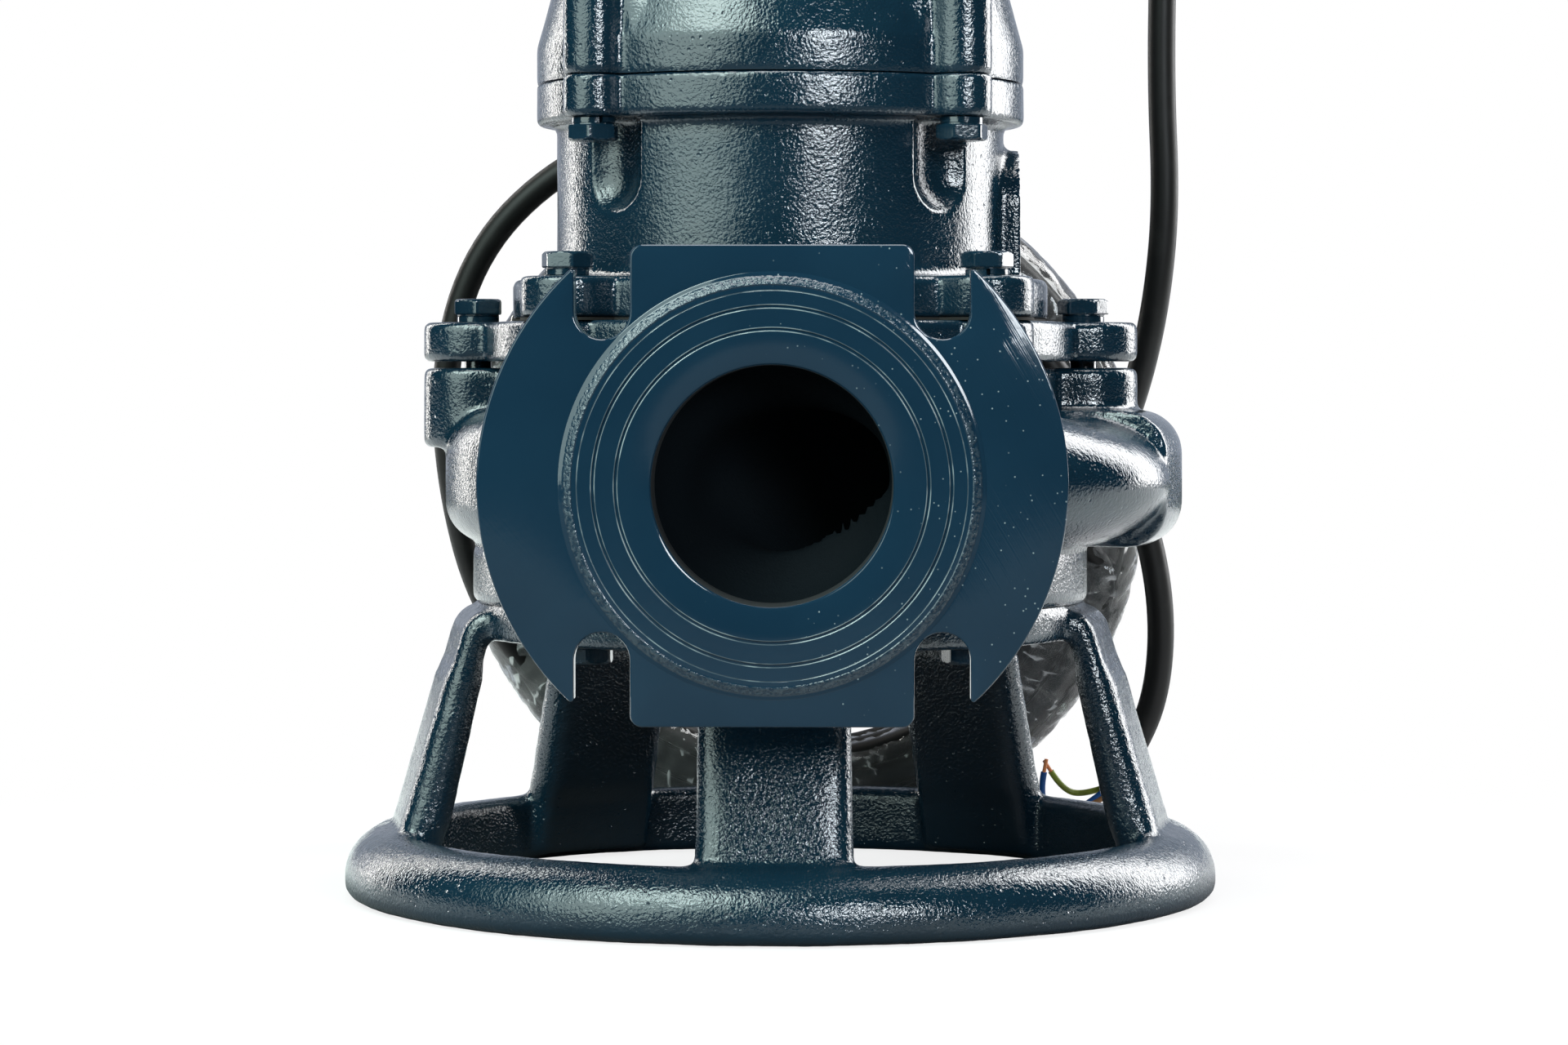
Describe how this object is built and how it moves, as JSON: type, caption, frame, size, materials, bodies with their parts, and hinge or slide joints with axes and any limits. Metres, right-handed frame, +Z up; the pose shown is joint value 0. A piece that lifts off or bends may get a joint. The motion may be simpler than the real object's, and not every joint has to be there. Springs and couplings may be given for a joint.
{
  "type": "submersible sewage pump",
  "caption": "Submersible sewage pump with spiral casing, slotted side outlet flange, ring stand on legs, bolted motor body, lifting handle and coiled cable.",
  "frame": {"origin": "on the floor under the pump axis, at the middle of the stand's floor ring", "axes": "+Z up along the shaft, -Y out of the outlet flange, +X to the side where the spiral is widest"},
  "size_m": [0.328, 0.3935, 0.607],
  "materials": {
    "cast_paint": "dark teal-blue gloss enamel over sand-cast iron",
    "painted_fastener": "the same gloss enamel over steel",
    "bright_steel": "ground steel",
    "core_steel": "stacked sheet steel",
    "bearing_cage": "pressed steel",
    "bronze": "turned bronze",
    "copper": "soft copper",
    "winding_copper": "varnished copper wire",
    "cast_impeller": "dark cast iron",
    "seal_carbide": "lapped carbide",
    "seal_rubber": "matt black rubber",
    "gasket_paper": "pressed fibre sheet",
    "gland_plastic": "black moulded plastic",
    "cable_rubber": "smooth black rubber sheath",
    "core_insulation": "coloured core insulation with a bare copper tip"
  },
  "bodies": {
    "pump": {"base_stand": "cast_paint", "stand_bolts": "painted_fastener", "volute_casing": "cast_paint", "wear_ring": "bronze", "casing_o_ring": "seal_rubber", "oil_chamber_cover": "cast_paint", "cover_bolts": "painted_fastener", "cover_spring_washers": "painted_fastener", "cover_gasket": "gasket_paper", "bracket": "cast_paint", "bracket_bolts": "painted_fastener", "bracket_spring_washers": "painted_fastener", "housing_bolts": "painted_fastener", "housing_spring_washers": "painted_fastener", "oil_plug": "painted_fastener", "oil_plug_washer": "painted_fastener", "motor_housing": "cast_paint", "housing_o_ring": "seal_rubber", "top_cover": "cast_paint", "top_cover_bolts": "painted_fastener", "top_cover_washers": "painted_fastener", "top_o_ring": "seal_rubber", "lower_bearing_outer": "bright_steel", "lower_circlip": "bright_steel", "upper_bearing_outer": "bright_steel", "wave_spring": "bright_steel", "lower_seal_seat": "seal_carbide", "upper_seal_seat": "seal_carbide", "stator_core": "core_steel", "stator_windings": "winding_copper", "terminal_block": "gland_plastic", "gland_body": "gland_plastic", "gland_seal": "seal_rubber", "gland_nut": "gland_plastic", "lift_handle": "painted_fastener", "handle_bolts": "painted_fastener", "cable_lead": "cable_rubber", "cable_coil": "cable_rubber", "cable_tail": "cable_rubber", "cable_cores": "core_insulation"},
    "rotor": {"shaft": "bright_steel", "impeller_key": "bright_steel", "impeller": "cast_impeller", "impeller_washer": "bright_steel", "impeller_bolt": "bright_steel", "lower_seal_ring": "seal_carbide", "seal_spring": "bright_steel", "upper_seal_ring": "seal_carbide", "rotor_core": "core_steel", "lower_bearing_inner": "bright_steel", "upper_bearing_inner": "bright_steel"},
    "lower_ball_set": {"lower_bearing_balls": "bright_steel", "lower_bearing_cage": "bearing_cage"},
    "upper_ball_set": {"upper_bearing_balls": "bright_steel", "upper_bearing_cage": "bearing_cage"}
  },
  "joints": [
    {"name": "rotor_spin", "type": "hinge", "parent": "pump", "child": "rotor", "pos_m": [0, 0, 0.3], "axis": [0, 0, 1], "continuous": true},
    {"name": "lower_cage_spin", "type": "hinge", "parent": "pump", "child": "lower_ball_set", "pos_m": [0, 0, 0.2725], "axis": [0, 0, 1], "continuous": true},
    {"name": "upper_cage_spin", "type": "hinge", "parent": "pump", "child": "upper_ball_set", "pos_m": [0, 0, 0.457], "axis": [0, 0, 1], "continuous": true}
  ],
  "couplings": [
    {"joint": "lower_cage_spin", "follows": "rotor_spin", "ratio": 0.36782},
    {"joint": "upper_cage_spin", "follows": "rotor_spin", "ratio": 0.36406}
  ]
}
